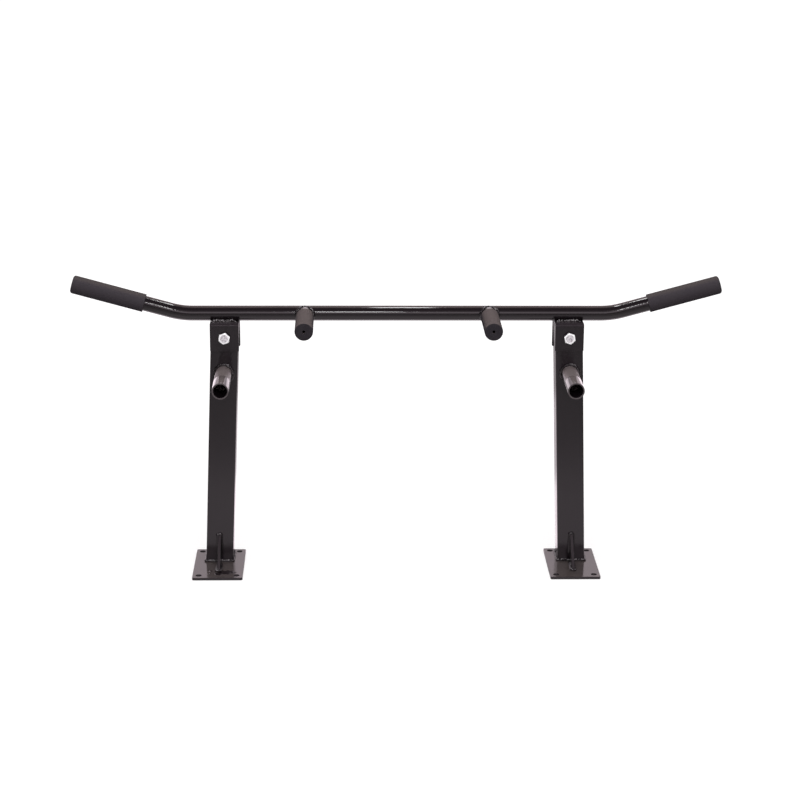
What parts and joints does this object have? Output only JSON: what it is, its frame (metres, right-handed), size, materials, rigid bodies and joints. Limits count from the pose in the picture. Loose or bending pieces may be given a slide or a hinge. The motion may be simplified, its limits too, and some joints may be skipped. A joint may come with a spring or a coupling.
{
  "type": "wall-mounted pull-up bar",
  "caption": "Black steel pull-up bar with bent ends, foam grips and two neutral handles, bolted on two square arms with wall plates and open tube sockets.",
  "frame": {"origin": "centre of the bounding box's bottom, on the wall face of the two plates", "axes": "+Z out from the wall, +X along the bar to the right as the user faces it in the picture, -Y the side of the handles and sockets"},
  "size_m": [1.1794, 0.1922, 0.5439],
  "materials": {
    "black_gloss_paint": "glossy black paint on steel tube and plate",
    "black_satin_paint": "smooth black paint on the square arms and their saddles",
    "painted_weld": "rippled weld beads under the same black paint",
    "zinc_plating": "bright zinc plating on the bolts, washers and nuts",
    "black_foam": "matt closed-cell foam sleeves"
  },
  "bodies": {
    "bar_frame": {"pull_up_bar": "black_gloss_paint", "bar_grip_left": "black_foam", "bar_grip_right": "black_foam", "handle_tube_left": "black_gloss_paint", "handle_tube_right": "black_gloss_paint", "handle_grip_left": "black_foam", "handle_grip_right": "black_foam", "handle_weld_left": "painted_weld", "handle_weld_right": "painted_weld", "saddle_left": "black_satin_paint", "saddle_right": "black_satin_paint", "saddle_weld_front_left": "painted_weld", "saddle_weld_front_right": "painted_weld", "saddle_weld_back_left": "painted_weld", "saddle_weld_back_right": "painted_weld", "pivot_bolt_left": "zinc_plating", "pivot_bolt_right": "zinc_plating", "nut_washer_left": "zinc_plating", "nut_washer_right": "zinc_plating", "lock_nut_left": "zinc_plating", "lock_nut_right": "zinc_plating"},
    "left_arm": {"arm_left": "black_satin_paint", "foot_weld_left": "painted_weld", "socket_tube_left": "black_gloss_paint", "socket_weld_left": "painted_weld", "wall_plate_left": "black_gloss_paint", "gusset_left": "black_gloss_paint", "gusset_weld_plate_left": "painted_weld", "gusset_weld_arm_left": "painted_weld"},
    "right_arm": {"arm_right": "black_satin_paint", "foot_weld_right": "painted_weld", "socket_tube_right": "black_gloss_paint", "socket_weld_right": "painted_weld", "wall_plate_right": "black_gloss_paint", "gusset_right": "black_gloss_paint", "gusset_weld_plate_right": "painted_weld", "gusset_weld_arm_right": "painted_weld"}
  },
  "joints": [
    {"name": "left_arm_swing", "type": "hinge", "parent": "bar_frame", "child": "left_arm", "pos_m": [-0.312, 0.04575, 0.4362], "axis": [0, -1, 0], "range_deg": [0, 4.2]},
    {"name": "right_arm_swing", "type": "hinge", "parent": "bar_frame", "child": "right_arm", "pos_m": [0.312, 0.04575, 0.4362], "axis": [0, 1, 0], "range_deg": [0, 4.2]}
  ]
}
